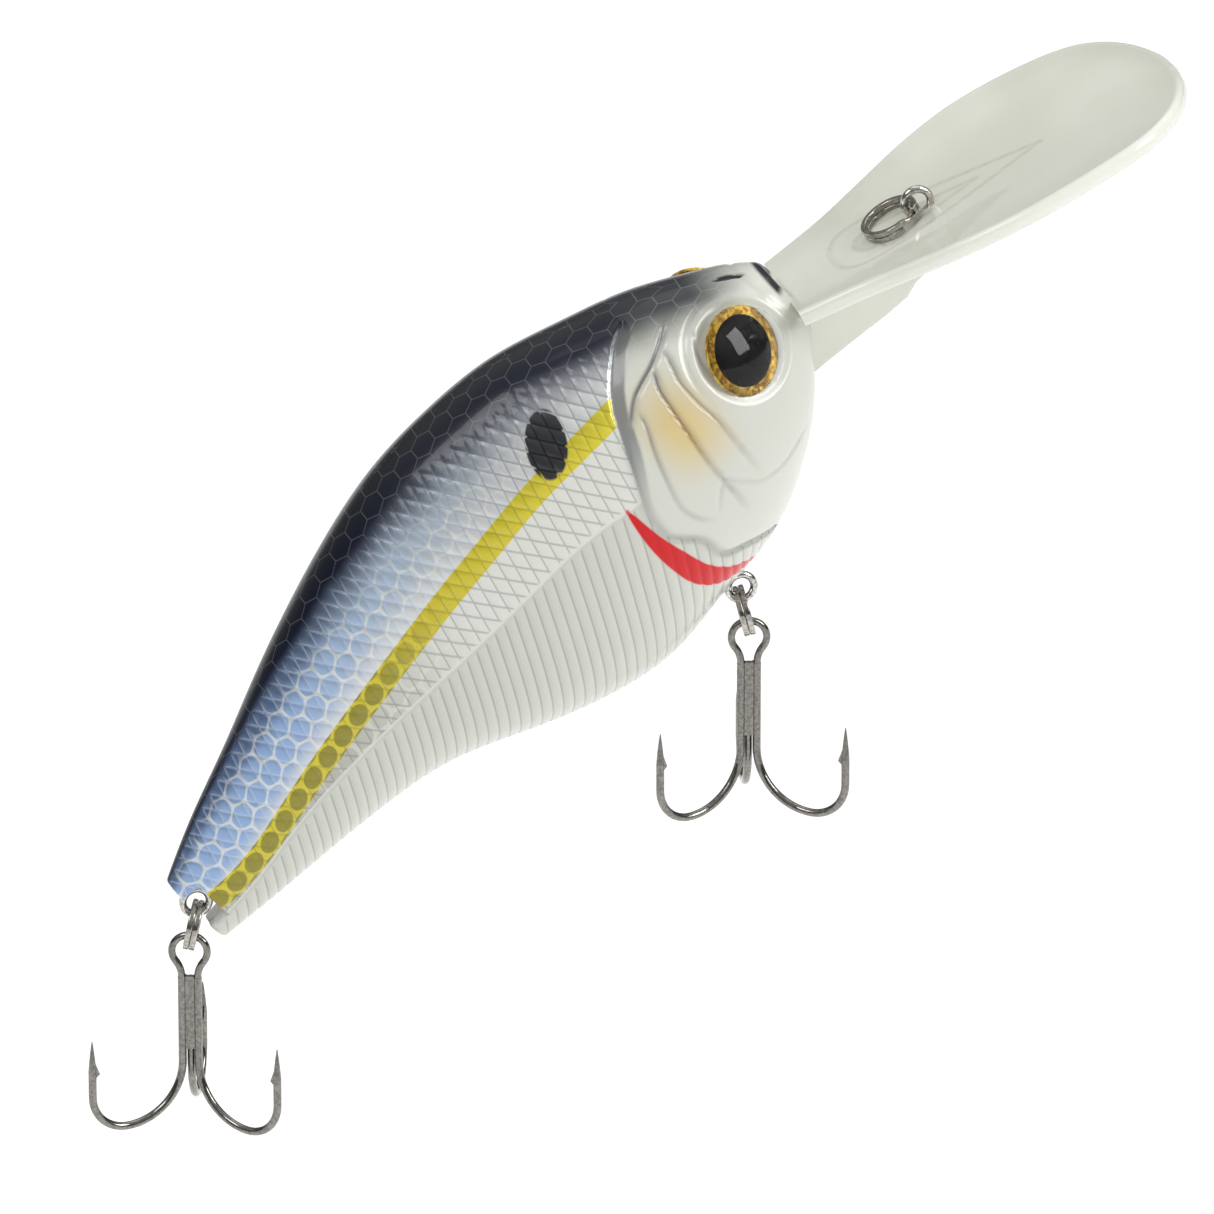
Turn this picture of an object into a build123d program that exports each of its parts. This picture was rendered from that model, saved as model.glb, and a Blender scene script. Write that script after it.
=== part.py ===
"""Deep-diving crankbait fishing lure, as separate pieces in one frame.

Millimetres. +Z up, +X the way the nose points, +Y the lure's left side, and the XZ plane is its plane of
symmetry. The lure is pitched nose-up and its hooks hang straight down. The origin is the centre of the split
ring on the line tie, where the fishing line or snap is fastened.
"""
import os
from math import cos, radians, sin

from build123d import *

os.makedirs("parts", exist_ok=True)

# ---- driving dimensions ---------------------------------------------------------------------------
BODY_PITCH = 42.0        # body axis above the horizontal
LIP_PITCH = 26.6         # lip's long axis above the horizontal
TAIL_X, TAIL_Z = -73.22, -69.42    # where the body axis leaves the tail
WALL = 1.6               # moulded wall of the body shells

LIP_LENGTH = 47.0        # from the tip back to where the plate meets the nose
LIP_THICK = 1.9
LIP_CUP = 1.6            # how far the middle of the plate lies below its side edges
LIP_HALF_WIDTH = 15.2

EYE_R = 4.65             # outer radius of the foil ring
EYE_S, EYE_N = 81.5, 6.9     # eye centre along and across the body axis
EYE_FORWARD = 36.0       # how far the eye faces forward of square to the side

RING_R = 2.7             # outer radius of the split rings that hold the hooks
LINE_RING_R = 3.2        # outer radius of the split ring on the line tie
RING_RADIAL = 0.6        # thickness of its wire across the ring
RING_COIL = 0.6          # thickness of one coil along the ring's axis
RING_GAP = 0.03          # space between the two coils

EYE_WIRE = 0.8           # wire of the line tie and of the hook hangers
LOOP_R = 1.4             # centre-line radius of their loops
STEM_SPREAD = 0.7        # between the two wires of a hanger's stem
STEM_DEPTH = 0.77        # thickness of that stem
HOOK_WIRE = 0.85         # wire of the treble hooks
HOOK_EYE_WIRE = 0.78     # the same wire where it forms the eye

CLEAR = 0.05             # gap of a locating fit

RING_MID = RING_R - RING_RADIAL / 2
RING_IN = RING_R - RING_RADIAL

# ---- directions and places ------------------------------------------------------------------------
A = Vector(cos(radians(BODY_PITCH)), 0, sin(radians(BODY_PITCH)))      # along the body, to the nose
N = Vector(-sin(radians(BODY_PITCH)), 0, cos(radians(BODY_PITCH)))     # across it, to the back
L = Vector(cos(radians(LIP_PITCH)), 0, sin(radians(LIP_PITCH)))        # along the lip, to its tip
M = Vector(-sin(radians(LIP_PITCH)), 0, cos(radians(LIP_PITCH)))       # off the lip's upper face
Y = Vector(0, 1, 0)
TAIL = Vector(TAIL_X, 0, TAIL_Z)


def body_point(s, n, y=0.0):
    """Point s along the body axis from the tail, n across it and y to the left."""
    return TAIL + A * s + N * n + Y * y


# ---- body: outer form, split into two half shells -------------------------------------------------
# (distance from the tail, height of the section's centre, half depth, half width)
SECTIONS = [
    (-0.3, 0.5, 4.55, 2.1),
    (6.0, 1.8, 6.4, 3.2),
    (14.0, 3.25, 8.3, 4.6),
    (22.0, 4.7, 10.4, 6.0),
    (30.0, 5.5, 12.75, 7.5),
    (38.0, 5.0, 15.85, 9.2),
    (46.0, 4.25, 18.3, 10.5),
    (54.0, 3.7, 19.15, 11.2),
    (62.0, 3.8, 18.2, 11.3),
    (70.0, 3.1, 16.3, 10.9),
    (77.0, 3.35, 13.2, 10.0),
    (82.5, 3.9, 9.5, 7.8),
    (86.5, 4.9, 5.9, 5.1),
    (88.9, 5.4, 3.2, 2.9),
]
CAVITY_FROM, CAVITY_TO = 14.0, 77.0

with BuildPart() as outer_form:
    for s, centre, half_depth, half_width in SECTIONS:
        with BuildSketch(Plane(origin=body_point(s, centre), x_dir=Y, z_dir=A)):
            Ellipse(half_width, half_depth)
    loft()

with BuildPart() as inner_form:
    for s, centre, half_depth, half_width in SECTIONS:
        if CAVITY_FROM <= s <= CAVITY_TO:
            with BuildSketch(Plane(origin=body_point(s, centre), x_dir=Y, z_dir=A)):
                Ellipse(half_width - WALL, half_depth - WALL)
    loft()


def body_box(s_from, s_to, n_from, n_to, half_y):
    """A block square to the body axis, the same on both sides of the symmetry plane."""
    with BuildPart() as block:
        mid = body_point((s_from + s_to) / 2, (n_from + n_to) / 2)
        with BuildSketch(Plane(origin=mid, x_dir=A, z_dir=Y)):
            Rectangle(s_to - s_from, n_to - n_from)
        extrude(amount=half_y, both=True)
    return block.part


# ---- hook hangers and line tie: wire loops with a stem and a buried anchor loop -------------------
def wire_hanger(loop_centre, stem_dir, stem_length, anchor_r):
    """A wire eye in the XZ plane: outer loop, straight twin-wire stem, inner anchor loop."""
    side = stem_dir.cross(Y)
    anchor = loop_centre + stem_dir * (LOOP_R + stem_length + anchor_r)
    with BuildPart() as hanger:
        with BuildSketch(Plane(origin=loop_centre + side * LOOP_R, x_dir=side, z_dir=stem_dir)):
            Circle(EYE_WIRE / 2)
        revolve(axis=Axis(loop_centre, Y))
        with BuildSketch(Plane(origin=anchor + side * anchor_r, x_dir=side, z_dir=stem_dir)):
            Circle(EYE_WIRE / 2)
        revolve(axis=Axis(anchor, Y))
        with BuildSketch(Plane(origin=loop_centre + stem_dir * LOOP_R, x_dir=side, z_dir=stem_dir)):
            SlotCenterToCenter(STEM_SPREAD, STEM_DEPTH)
        extrude(amount=stem_length)
    return hanger.part


# ---- split rings ----------------------------------------------------------------------------------
STEP_FROM, STEP_SWEEP = 100.0, 40.0      # where the slanted step begins, and the angle it takes
STEP_PARTS = 4
RING_CORNER = 0.14                       # rounding of the flat wire's edges
HANGER_SEAT = 0.4                        # play between a hook ring and its hanger, so that it swings freely


def split_ring(centre, axis, start, outer_r):
    """Two coils of flat wire, one above the other, joined by a short slanted step.

    axis is the ring's axis and start the direction of angle 0.
    """
    across = axis.cross(start)
    lift = (RING_COIL + RING_GAP) / 2
    mid_r = outer_r - RING_RADIAL / 2

    def radial(angle):
        return start * cos(radians(angle)) + across * sin(radians(angle))

    def tangent(angle):
        return across * cos(radians(angle)) - start * sin(radians(angle))

    def section_plane(angle, level):
        return Plane(origin=centre + radial(angle) * mid_r + axis * level, x_dir=radial(angle),
                     z_dir=tangent(angle))

    with BuildPart() as ring:
        for level in (lift, -lift):
            with BuildSketch(section_plane(STEP_FROM + STEP_SWEEP, level)):
                RectangleRounded(RING_RADIAL, RING_COIL, RING_CORNER)
            revolve(axis=Axis(centre, axis), revolution_arc=360.0 - STEP_SWEEP)
        for part in range(STEP_PARTS):
            for share in (part / STEP_PARTS, (part + 1) / STEP_PARTS):
                level = lift * cos(radians(180.0 * share))
                with BuildSketch(section_plane(STEP_FROM + STEP_SWEEP * share, level)):
                    RectangleRounded(RING_RADIAL, RING_COIL, RING_CORNER)
            loft()
    return ring.part


def ring_axis(yaw, lean):
    """Unit axis of a hanging ring: level at first, turned by yaw about Z, then tipped by lean."""
    return Vector(cos(radians(yaw)) * cos(radians(lean)), sin(radians(yaw)) * cos(radians(lean)),
                  sin(radians(lean)))


def hang_chain(hanger_low, yaw, lean):
    """Ring axis, ring centre and hook pivot below a hanger loop whose lowest wire is at hanger_low."""
    axis = ring_axis(yaw, lean)
    down = (Vector(0, 0, -1) + axis * axis.Z).normalized()
    centre = hanger_low + down * (RING_IN - HANGER_SEAT - EYE_WIRE / 2)
    pivot = centre + down * RING_MID
    return axis, down, centre, pivot


# ---- treble hooks ---------------------------------------------------------------------------------
HOOK_PIVOT_TO_EYE = 0.66     # the eye loop's centre lies this far below the pivot
HOOK_EYE_R = 1.83            # centre-line radius of the eye loop
HOOK_SPREAD = 0.83           # half spacing of the two shank wires
HOOK_NECK = 38.0             # turn of the wire between shank and eye
HOOK_BACK = 0.58             # third wire behind the other two
HOOK_BOTTOM = 18.65          # depth of the bend below the eye's centre
HOOK_BEND_IN, HOOK_BEND_OUT = 6.2, 3.9
HOOK_TIP = 8.4               # tips below the eye's centre
HOOK_POINT = 3.4             # length of the ground point
HOOK_POINT_MID = (0.45, 0.68)    # share of that length, and of the wire's radius left there
HOOK_POINT_R = 0.05          # radius of the very tip
HOOK_SPLAY = 30.0            # the two front bends turn this far forward of sideways
BARB = ((0, -0.9), (-0.62, -0.35), (0, 1.3), (0, -0.9))      # (outward, along the point)
BARB_HALF = 0.16             # half thickness of the barb
BARB_SINK = 0.4              # share of the wire's radius by which the barb is set into it
SINGLE_TOP = 3.1             # the third wire begins this far below the eye's centre
BRAZE_LOW, BRAZE_LENGTH = 11.0, 8.2      # lower end below the eye's centre, and length
BRAZE_FRONT = -0.22          # front face of the braze
BRAZE_BACK, BRAZE_BACK_HALF = 0.1, 0.3   # beyond the third wire's middle, and half width there
BRAZE_GAP = 0.005            # between the braze and each wire


def hook_frame(pivot, yaw):
    """Eye centre, sideways and backward directions of a treble turned by yaw about Z."""
    side = Vector(cos(radians(yaw)), sin(radians(yaw)), 0)
    back = Vector(-sin(radians(yaw)), cos(radians(yaw)), 0)
    return pivot - Vector(0, 0, HOOK_PIVOT_TO_EYE), side, back


def hook_bend(neck, axis_top, out):
    """One shank wire from neck down, its bend, ground point and barb; out is the way the bend goes."""
    up = Vector(0, 0, 1)
    wire_r = HOOK_WIRE / 2
    shank_end = axis_top - up * (HOOK_BOTTOM - HOOK_BEND_IN)
    low = axis_top + out * HOOK_BEND_IN - up * HOOK_BOTTOM
    rise = low + out * HOOK_BEND_OUT + up * HOOK_BEND_OUT
    tip = Vector(rise.X, rise.Y, axis_top.Z - HOOK_TIP)
    base = tip - up * HOOK_POINT
    mid_share, mid_wire = HOOK_POINT_MID
    with BuildPart() as bend:
        with BuildLine() as path:
            Line(neck, shank_end)
            TangentArc(shank_end, low, tangent=-up)
            TangentArc(low, rise, tangent=out)
            Line(rise, base)
        with BuildSketch(Plane(origin=neck, x_dir=out, z_dir=-up)):
            Circle(wire_r)
        sweep(path=path.line)
        with BuildSketch(Plane(origin=base, x_dir=out, z_dir=up)):
            Circle(wire_r)
        with BuildSketch(Plane(origin=base + up * (HOOK_POINT * mid_share), x_dir=out, z_dir=up)):
            Circle(wire_r * mid_wire)
        with BuildSketch(Plane(origin=tip, x_dir=out, z_dir=up)):
            Circle(HOOK_POINT_R)
        loft()
        with BuildSketch(Plane(origin=base - out * (wire_r * BARB_SINK), x_dir=out, z_dir=out.cross(up))):
            with BuildLine():
                Polyline(*BARB)
            make_face()
        extrude(amount=BARB_HALF, both=True)
    return bend.part


def hook_double(pivot, yaw):
    """The wire that makes the eye, two shank wires and two of the three hooks."""
    eye, side, back = hook_frame(pivot, yaw)
    up = Vector(0, 0, 1)
    turn = radians(HOOK_NECK)
    neck_r = (HOOK_EYE_R * cos(turn) - HOOK_SPREAD) / (1 - cos(turn))
    neck_drop = (HOOK_EYE_R + neck_r) * sin(turn)
    bends = []
    for sign in (-1, 1):
        axis_top = eye + side * (sign * HOOK_SPREAD)
        out = side * (sign * cos(radians(HOOK_SPLAY))) - back * sin(radians(HOOK_SPLAY))
        bends.append(hook_bend(axis_top - up * neck_drop, axis_top, out))
    with BuildPart() as double:
        add(bends)
        start = eye - side * HOOK_SPREAD - up * neck_drop
        left = eye - side * (HOOK_EYE_R * cos(turn)) - up * (HOOK_EYE_R * sin(turn))
        top = eye + up * HOOK_EYE_R
        right = eye + side * (HOOK_EYE_R * cos(turn)) - up * (HOOK_EYE_R * sin(turn))
        end = eye + side * HOOK_SPREAD - up * neck_drop
        with BuildLine() as loop:
            TangentArc(start, left, tangent=up)
            ThreePointArc(left, top, right)
            TangentArc(end, right, tangent=up)
        with BuildSketch(Plane(origin=start, x_dir=side, z_dir=up)):
            Circle(HOOK_EYE_WIRE / 2)
        sweep(path=loop.line)
    return double.part


def hook_single(pivot, yaw):
    """The third hook, brazed behind the other two."""
    eye, side, back = hook_frame(pivot, yaw)
    axis_top = eye + back * HOOK_BACK
    return hook_bend(axis_top - Vector(0, 0, SINGLE_TOP), axis_top, back)


def hook_braze(pivot, yaw):
    """Braze that fills the space between the three shank wires."""
    eye, side, back = hook_frame(pivot, yaw)
    low = eye - Vector(0, 0, BRAZE_LOW)
    rear = HOOK_BACK + BRAZE_BACK
    with BuildPart() as braze:
        with BuildSketch(Plane(origin=low, x_dir=side, z_dir=Vector(0, 0, 1))):
            with BuildLine():
                Polyline((-HOOK_SPREAD, BRAZE_FRONT), (HOOK_SPREAD, BRAZE_FRONT), (BRAZE_BACK_HALF, rear),
                         (-BRAZE_BACK_HALF, rear), (-HOOK_SPREAD, BRAZE_FRONT))
            make_face()
            with Locations((-HOOK_SPREAD, 0), (HOOK_SPREAD, 0), (0, HOOK_BACK)):
                Circle(HOOK_WIRE / 2 + BRAZE_GAP, mode=Mode.SUBTRACT)
        extrude(amount=BRAZE_LENGTH)
    return braze.part


# ---- where the hardware sits ----------------------------------------------------------------------
LINE_TILT = 3.2          # the line ring's plane dips towards the lip by this much at rest
LINE_REACH = 3.23        # from the ring's centre to the centre of the line tie's loop
LINE_HEIGHT = 0.357      # line tie loop's centre above the plane of the lip's edges
LINE_BACK = 30.55        # line tie loop's centre behind the lip's tip

line_out = L * cos(radians(LINE_TILT)) + M * sin(radians(LINE_TILT))
LINE_LOOP = line_out * LINE_REACH
LIP_TIP = LINE_LOOP + L * LINE_BACK - M * LINE_HEIGHT

BELLY_LOW = Vector(-15.69, 0, -40.63)      # lowest wire of the belly hanger's loop
BELLY_YAW, BELLY_LEAN = -8.4, 13.7
BELLY_HOOK_YAW = -10.0
TAIL_LOW = Vector(-73.51, 0, -69.55)
TAIL_YAW, TAIL_LEAN = -19.6, -11.6
TAIL_HOOK_YAW = -20.0

belly_axis, belly_down, belly_centre, belly_pivot = hang_chain(BELLY_LOW, BELLY_YAW, BELLY_LEAN)
tail_axis, tail_down, tail_centre, tail_pivot = hang_chain(TAIL_LOW, TAIL_YAW, TAIL_LEAN)

belly_loop = BELLY_LOW + Vector(0, 0, LOOP_R)
tail_loop = TAIL_LOW + Vector(0, 0, LOOP_R)
BELLY_STEM = Vector(-0.75, 0, 0.6614).normalized()
BELLY_STEM_LENGTH, BELLY_ANCHOR_R = 4.6, 1.9
TAIL_STEM_LENGTH, TAIL_ANCHOR_R = 4.2, 1.5

belly_hanger_part = wire_hanger(belly_loop, BELLY_STEM, BELLY_STEM_LENGTH, BELLY_ANCHOR_R)
tail_hanger_part = wire_hanger(tail_loop, A, TAIL_STEM_LENGTH, TAIL_ANCHOR_R)

# ---- diving lip -----------------------------------------------------------------------------------
# (distance behind the tip, half width); the two ends are closed by the spline and by the nose
LIP_OUTLINE = [(1.1, 4.2), (3.1, 9.0), (6.3, 12.5), (10.2, 14.3), (16.0, 15.2), (22.0, 15.2), (28.0, 13.9),
               (34.0, 11.6), (40.0, 9.2), (47.0, 7.2)]
LIP_TRIM = 0.6           # the rounded end stops this far short of the tip's datum
LIP_PLANE = Plane(origin=LIP_TIP, x_dir=L, z_dir=M)
CUP_R = (LIP_HALF_WIDTH ** 2 + LIP_CUP ** 2) / (2 * LIP_CUP)
LIP_CORNER = 0.7         # rounding of the plate's long edges
LIP_REACH = 64.0         # longer than the plate, for the cut that cups it
TONGUE_LENGTH = 11.0     # of the tongue that the nose holds
TONGUE_OVERLAP = 2.0     # of that length, the part inside the plate
TONGUE_HALF = 3.0
# (behind the tip, off the plane of the lip's edges), negative below it
KEEL = [(-50, -1.4), (-50, -10.6), (-44, -9.6), (-35.5, -8.2), (-34.5, -7.2), (-19, -1.9), (-19, -1.4),
        (-50, -1.4)]
KEEL_HALF = 1.2
ANCHOR_LENGTH, ANCHOR_WIDTH, ANCHOR_GAP = 4.4, 2.0, 0.7      # long loop moulded into the plate
ANCHOR_BACK = 2.2        # its middle lies this far behind the line tie

with BuildPart() as plate:
    with BuildSketch(LIP_PLANE):
        with BuildLine():
            near_side = [(-back, -half) for back, half in LIP_OUTLINE]
            far_side = [(-back, half) for back, half in LIP_OUTLINE]
            rim = Spline(far_side[::-1] + [(-LIP_TRIM, 0)] + near_side)
            Line(rim @ 1, rim @ 0)
        make_face()
    extrude(amount=LIP_CUP + LIP_THICK + 2.5, both=True)
    with BuildSketch(Plane(origin=LIP_TIP - L * (LIP_REACH - 4), x_dir=Y, z_dir=L)):
        with Locations((0, CUP_R - LIP_CUP)):
            Circle(CUP_R + LIP_THICK / 2)
            Circle(CUP_R - LIP_THICK / 2, mode=Mode.SUBTRACT)
    extrude(amount=LIP_REACH, mode=Mode.INTERSECT)
    fillet(plate.edges().filter_by(lambda e: e.length > LIP_LENGTH - 7), radius=LIP_CORNER)

with BuildPart() as keel:
    with BuildSketch(Plane(origin=LIP_TIP, x_dir=L, z_dir=-Y)):
        with BuildLine():
            Polyline(*KEEL)
        make_face()
    extrude(amount=KEEL_HALF, both=True)


# ---- line tie: loop standing out of the lip, stem and an anchor loop moulded into the plate -------
with BuildPart() as line_tie_wire:
    with BuildSketch(Plane(origin=LINE_LOOP + L * LOOP_R, x_dir=L, z_dir=M)):
        Circle(EYE_WIRE / 2)
    revolve(axis=Axis(LINE_LOOP, Y))
    anchor_level = LINE_LOOP - M * (LINE_HEIGHT + LIP_CUP)
    with BuildSketch(Plane(origin=anchor_level, x_dir=L, z_dir=M)):
        Circle(EYE_WIRE / 2)
    extrude(amount=LINE_HEIGHT + LIP_CUP - LOOP_R)
    with BuildSketch(Plane(origin=anchor_level - L * ANCHOR_BACK, x_dir=L, z_dir=M)):
        SlotCenterToCenter(ANCHOR_LENGTH, ANCHOR_WIDTH)
        SlotCenterToCenter(ANCHOR_LENGTH, ANCHOR_GAP, mode=Mode.SUBTRACT)
    extrude(amount=EYE_WIRE / 2, both=True)


def tongue(extra):
    """The lip's tongue inside the nose, larger all round by extra."""
    root = LIP_TIP - L * (LIP_LENGTH - TONGUE_OVERLAP) - M * LIP_CUP
    with BuildPart() as block:
        with BuildSketch(Plane(origin=root, x_dir=Y, z_dir=-L)):
            Rectangle(2 * (TONGUE_HALF + extra), LIP_THICK + 2 * extra)
        extrude(amount=TONGUE_LENGTH + extra)
    return block.part


lip_tongue = tongue(0)
tongue_slot = tongue(CLEAR)

with BuildPart() as diving_lip:
    add(plate.part)
    add(keel.part)
    add(outer_form.part, mode=Mode.SUBTRACT)
    add(lip_tongue)
    add(line_tie_wire.part, mode=Mode.SUBTRACT)

# ---- inside of the body ---------------------------------------------------------------------------
BULKHEADS = (27.0, 46.0, 57.5)       # cross walls, by distance from the tail
BULKHEAD_T = 1.2
REAR_BALL_R, REAR_BALL_N = 3.0, 4.0
FRONT_BALL_R, FRONT_BALL_N = 2.4, 9.0
BALL_CLEAR = 0.1
BALLAST_R, BALLAST_N = 3.6, -8.5
NOSE_WEIGHT_R, NOSE_WEIGHT_S, NOSE_WEIGHT_N = 2.5, 79.0, -1.8
NOSE_WEIGHT_HALF = 3.4
PINS = ((21.0, 4.6), (40.0, 14.6), (66.0, 13.0), (70.0, -5.0))
PIN_R, PIN_LENGTH, PIN_BOSS_R = 1.1, 1.5, 2.3
PIN_ROOT = 1.0                       # the pins and their holes begin this far on the other side
PIN_END_GAP = 0.2
TUBE_WALL = 1.3                      # round the bores of the rattles
CRADLE_TOP, CRADLE_HALF = 5.0, 4.8   # above the ballast's axis, and half width
HANGER_BOSS = (58.0, 66.0, -18, -4.4, 3.2)
ROOM_LOW, ROOM_HIGH, ROOM_HALF = -20, 25, 15     # a block this large reaches through the whole cavity
JOIN = 0.2                           # walls run this far into the bulkheads

REAR_FROM, REAR_TO = BULKHEADS[0] + BULKHEAD_T, BULKHEADS[1]
FRONT_FROM, FRONT_TO = BULKHEADS[1] + BULKHEAD_T, BULKHEADS[2]


def along(s_from, s_to, n, radius):
    """A round bar along the body axis."""
    with BuildPart() as bar:
        with BuildSketch(Plane(origin=body_point(s_from, n), x_dir=Y, z_dir=A)):
            Circle(radius)
        extrude(amount=s_to - s_from)
    return bar.part


def across(s, n, radius, y_from, y_to):
    """A round bar square to the plane of symmetry."""
    with BuildPart() as bar:
        with BuildSketch(Plane(origin=body_point(s, n, y_from), x_dir=A, z_dir=Y)):
            Circle(radius)
        extrude(amount=y_to - y_from)
    return bar.part


def full_round(s, n, radius):
    """A ball on the symmetry plane."""
    with BuildPart(Plane(origin=body_point(s, n))) as ball:
        Sphere(radius)
    return ball.part




def tube(s_from, s_to, n, bore_r):
    """The square wall round a bore between two bulkheads."""
    half = bore_r + TUBE_WALL
    return body_box(s_from - JOIN, s_to + JOIN, n - half, n + half, half)


bulkheads = [body_box(s, s + BULKHEAD_T, ROOM_LOW, ROOM_HIGH, ROOM_HALF) for s in BULKHEADS]
rear_tube = tube(REAR_FROM, REAR_TO, REAR_BALL_N, REAR_BALL_R + BALL_CLEAR)
front_tube = tube(FRONT_FROM, FRONT_TO, FRONT_BALL_N, FRONT_BALL_R + BALL_CLEAR)
ballast_cradle = body_box(FRONT_FROM - JOIN, FRONT_TO + JOIN, ROOM_LOW, BALLAST_N + CRADLE_TOP, CRADLE_HALF)
pin_bosses = [across(s, n, PIN_BOSS_R, -ROOM_HALF, ROOM_HALF) for s, n in PINS]
rear_bore = along(REAR_FROM, REAR_TO, REAR_BALL_N, REAR_BALL_R + BALL_CLEAR)
front_bore = along(FRONT_FROM, FRONT_TO, FRONT_BALL_N, FRONT_BALL_R + BALL_CLEAR)
ballast_bore = along(FRONT_FROM, FRONT_TO, BALLAST_N, BALLAST_R + CLEAR)
nose_bore = across(NOSE_WEIGHT_S, NOSE_WEIGHT_N, NOSE_WEIGHT_R + CLEAR, -NOSE_WEIGHT_HALF - CLEAR,
                   NOSE_WEIGHT_HALF + CLEAR)

with BuildPart() as cavity:
    add(inner_form.part)
    for solid in bulkheads + pin_bosses + [body_box(*HANGER_BOSS), rear_tube, front_tube, ballast_cradle]:
        add(solid, mode=Mode.SUBTRACT)
    for solid in (rear_bore, front_bore, ballast_bore, nose_bore):
        add(solid)

# ---- eyes -----------------------------------------------------------------------------------------
EYE_Y = 7.35             # eye centre from the plane of symmetry
EYE_DEPTH = 0.75         # socket floor below the eye's centre
EYE_SHEET = 0.35         # thickness of the foil ring and of the pupil
PUPIL_R = 3.75
LENS_RISE = 1.55         # height of the clear dome
SOCKET_CUT = 4.0         # the socket is cut this far outward from its floor


def eye_plane(side, level):
    """Plane of an eye: side is -1 on the right and 1 on the left, level its height above the socket floor."""
    facing = (A * sin(radians(EYE_FORWARD)) + Y * (side * cos(radians(EYE_FORWARD)))).normalized()
    floor = body_point(EYE_S, EYE_N, side * EYE_Y) - facing * EYE_DEPTH
    return Plane(origin=floor + facing * level, x_dir=N, z_dir=facing)


def eye_foil(side):
    """Flat ring of foil on the floor of the socket."""
    with BuildPart() as foil:
        with BuildSketch(eye_plane(side, 0)):
            Circle(EYE_R)
            Circle(PUPIL_R, mode=Mode.SUBTRACT)
        extrude(amount=EYE_SHEET)
    return foil.part


def eye_pupil(side):
    """Black disc in the middle of the foil ring."""
    with BuildPart() as pupil:
        with BuildSketch(eye_plane(side, 0)):
            Circle(PUPIL_R)
        extrude(amount=EYE_SHEET)
    return pupil.part


def eye_lens(side):
    """Clear domed cap over the foil and the pupil."""
    base = eye_plane(side, EYE_SHEET)
    with BuildPart() as lens:
        with BuildSketch(Plane(origin=base.origin, x_dir=base.x_dir, z_dir=base.x_dir.cross(base.z_dir))):
            with BuildLine():
                Line((0, 0), (EYE_R, 0))
                TangentArc((0, LENS_RISE), (EYE_R, 0), tangent=(1, 0))
                Line((0, LENS_RISE), (0, 0))
            make_face()
        revolve(axis=Axis(base.origin, base.z_dir))
    return lens.part


def eye_socket(side):
    """The round recess that takes one eye."""
    with BuildPart() as socket:
        with BuildSketch(eye_plane(side, 0)):
            Circle(EYE_R + CLEAR)
        extrude(amount=SOCKET_CUT)
    return socket.part


# ---- body shells ----------------------------------------------------------------------------------
TAIL_NOTCH = (-2, 2.2, -1.6, 3.2, 5)     # room for the tail's ring, as a block square to the body axis

sockets = [eye_socket(side) for side in (-1, 1)]
pins = [across(s, n, PIN_R, -PIN_ROOT, PIN_LENGTH) for s, n in PINS]
pin_holes = [across(s, n, PIN_R + CLEAR, -PIN_ROOT, PIN_LENGTH + PIN_END_GAP) for s, n in PINS]


def half_shell(side):
    """One half of the hollow body: side is -1 for the right half and 1 for the left."""
    with BuildPart() as shell:
        add(outer_form.part)
        add(cavity.part, mode=Mode.SUBTRACT)
        for solid in sockets + [body_box(*TAIL_NOTCH), tongue_slot, belly_hanger_part, tail_hanger_part]:
            add(solid, mode=Mode.SUBTRACT)
        split(bisect_by=Plane(origin=(0, 0, 0), x_dir=(1, 0, 0), z_dir=(0, side, 0)), keep=Keep.TOP)
    return shell.part


with BuildPart() as body_shell_right:
    add(half_shell(-1))
    add(pins)

with BuildPart() as body_shell_left:
    add(half_shell(1))
    for solid in pin_holes:
        add(solid, mode=Mode.SUBTRACT)

# ---- weights and rattles --------------------------------------------------------------------------
belly_ballast = along(FRONT_FROM + CLEAR, FRONT_TO - CLEAR, BALLAST_N, BALLAST_R)
nose_weight = across(NOSE_WEIGHT_S, NOSE_WEIGHT_N, NOSE_WEIGHT_R, -NOSE_WEIGHT_HALF, NOSE_WEIGHT_HALF)
rear_rattle_ball = full_round(REAR_FROM + REAR_BALL_R + CLEAR, REAR_BALL_N, REAR_BALL_R)
front_rattle_ball = full_round(FRONT_FROM + FRONT_BALL_R + CLEAR, FRONT_BALL_N, FRONT_BALL_R)

# ---- finished pieces ------------------------------------------------------------------------------
line_axis = line_out.cross(Y)
pieces = {
    "body_shell_right": body_shell_right.part,
    "body_shell_left": body_shell_left.part,
    "diving_lip": diving_lip.part,
    "line_tie_wire": line_tie_wire.part,
    "line_ring": split_ring(Vector(0, 0, 0), line_axis, -line_out, LINE_RING_R),
    "belly_hanger": belly_hanger_part,
    "tail_hanger": tail_hanger_part,
    "belly_split_ring": split_ring(belly_centre, belly_axis, belly_down, RING_R),
    "tail_split_ring": split_ring(tail_centre, tail_axis, tail_down, RING_R),
    "belly_ballast": belly_ballast,
    "nose_weight": nose_weight,
    "rear_rattle_ball": rear_rattle_ball,
    "front_rattle_ball": front_rattle_ball,
}
for name, pivot, yaw in (("belly", belly_pivot, BELLY_HOOK_YAW), ("tail", tail_pivot, TAIL_HOOK_YAW)):
    pieces[f"{name}_hook_double"] = hook_double(pivot, yaw)
    pieces[f"{name}_hook_single"] = hook_single(pivot, yaw)
    pieces[f"{name}_hook_braze"] = hook_braze(pivot, yaw)
for name, side in (("right", -1), ("left", 1)):
    pieces[f"{name}_eye_foil"] = eye_foil(side)
    pieces[f"{name}_eye_pupil"] = eye_pupil(side)
    pieces[f"{name}_eye_lens"] = eye_lens(side)

for name, piece in pieces.items():
    piece.label = name
    export_step(piece, f"parts/{name}.step")
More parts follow.
